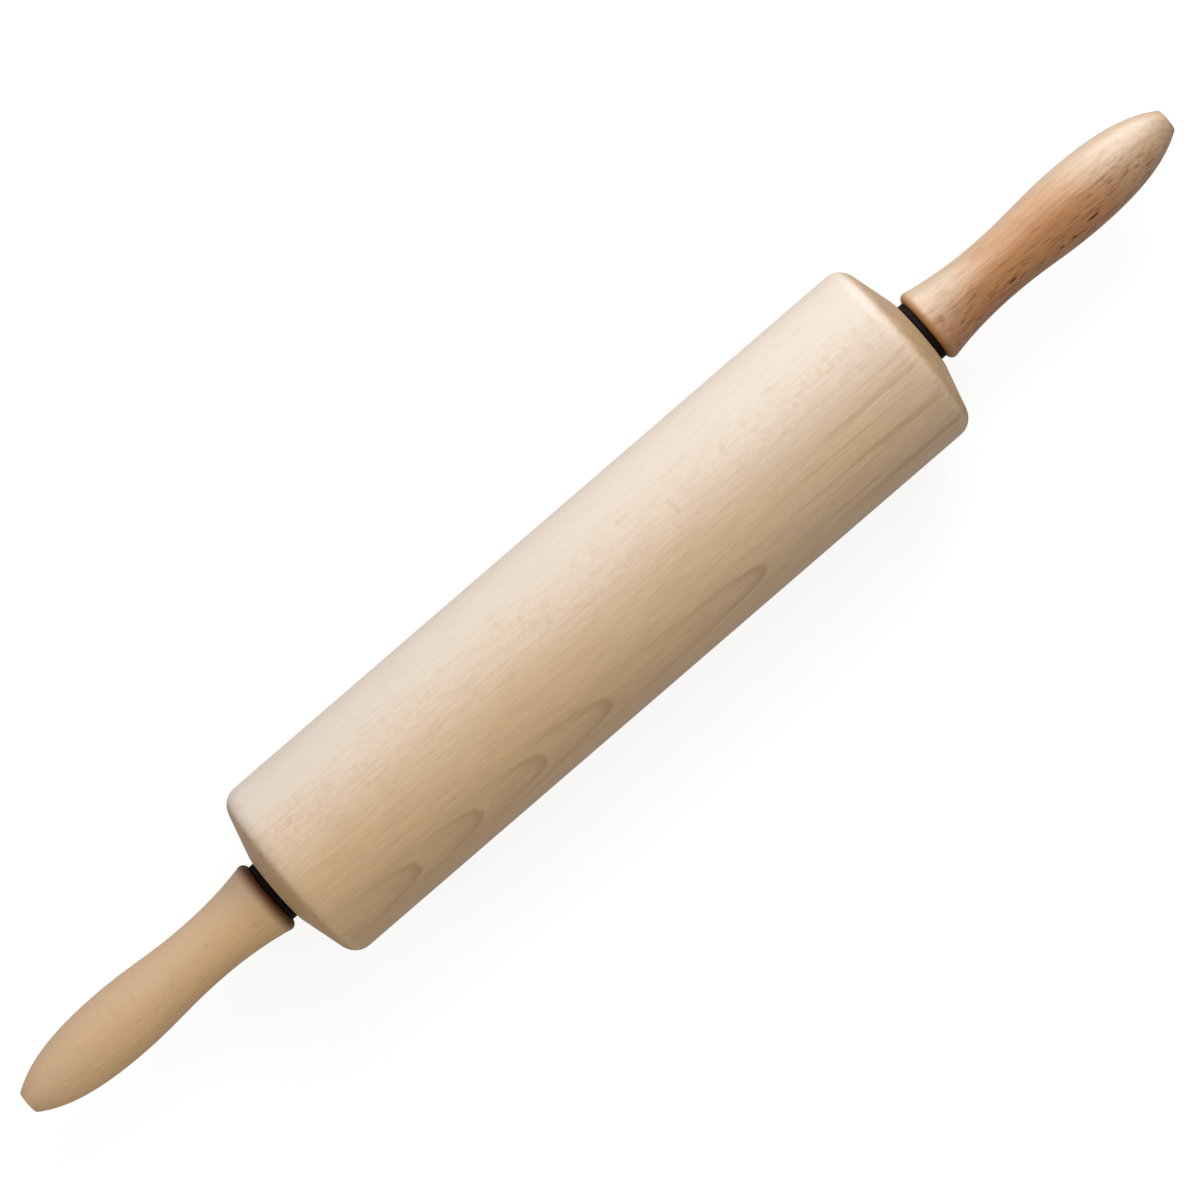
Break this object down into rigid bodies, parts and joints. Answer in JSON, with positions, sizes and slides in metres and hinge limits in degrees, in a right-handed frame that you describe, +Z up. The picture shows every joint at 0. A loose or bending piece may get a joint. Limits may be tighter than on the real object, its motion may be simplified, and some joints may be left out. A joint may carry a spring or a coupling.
{
  "type": "rolling pin",
  "caption": "Wooden rolling pin: a turned beech barrel spins on sealed ball bearings around a steel axle glued into slim turned handles, with black dust collars between.",
  "frame": {"origin": "the middle of the pin, on the axle's axis, halfway along the barrel", "axes": "+X along the axle towards the right handle, +Z up, away from the worktop that the barrel lies on"},
  "size_m": [0.4348, 0.06, 0.06],
  "materials": {
    "barrel_beech": "fine-sanded beech, oiled to a soft sheen",
    "handle_beech": "turned beech, waxed, with dark ray flecks",
    "collar_nylon": "turned black nylon",
    "axle_steel": "drawn bright steel",
    "bearing_steel": "ground bearing steel",
    "ball_steel": "polished bearing steel",
    "cage_nylon": "natural moulded nylon",
    "seal_rubber": "black moulded rubber"
  },
  "bodies": {
    "axle_and_handles": {"axle_rod": "axle_steel", "handle_left": "handle_beech", "handle_right": "handle_beech", "dust_collar_left": "collar_nylon", "dust_collar_right": "collar_nylon", "bearing_left_inner_ring": "bearing_steel", "bearing_right_inner_ring": "bearing_steel"},
    "barrel_and_rings": {"barrel": "barrel_beech", "bearing_left_outer_ring": "bearing_steel", "bearing_left_seal_outboard": "seal_rubber", "bearing_left_seal_inboard": "seal_rubber", "bearing_right_outer_ring": "bearing_steel", "bearing_right_seal_outboard": "seal_rubber", "bearing_right_seal_inboard": "seal_rubber"},
    "left_cage_and_balls": {"bearing_left_cage": "cage_nylon", "bearing_left_ball_1": "ball_steel", "bearing_left_ball_2": "ball_steel", "bearing_left_ball_3": "ball_steel", "bearing_left_ball_4": "ball_steel", "bearing_left_ball_5": "ball_steel", "bearing_left_ball_6": "ball_steel", "bearing_left_ball_7": "ball_steel"},
    "right_cage_and_balls": {"bearing_right_cage": "cage_nylon", "bearing_right_ball_1": "ball_steel", "bearing_right_ball_2": "ball_steel", "bearing_right_ball_3": "ball_steel", "bearing_right_ball_4": "ball_steel", "bearing_right_ball_5": "ball_steel", "bearing_right_ball_6": "ball_steel", "bearing_right_ball_7": "ball_steel"}
  },
  "joints": [
    {"name": "barrel_spin", "type": "hinge", "parent": "axle_and_handles", "child": "barrel_and_rings", "pos_m": [0, 0, 0], "axis": [1, 0, 0], "continuous": true},
    {"name": "left_cage_orbit", "type": "hinge", "parent": "axle_and_handles", "child": "left_cage_and_balls", "pos_m": [-0.1185, 0, 0], "axis": [1, 0, 0], "continuous": true},
    {"name": "right_cage_orbit", "type": "hinge", "parent": "axle_and_handles", "child": "right_cage_and_balls", "pos_m": [0.1185, 0, 0], "axis": [1, 0, 0], "continuous": true}
  ],
  "couplings": [
    {"joint": "left_cage_orbit", "follows": "barrel_spin", "ratio": 0.61029},
    {"joint": "right_cage_orbit", "follows": "barrel_spin", "ratio": 0.61029}
  ]
}
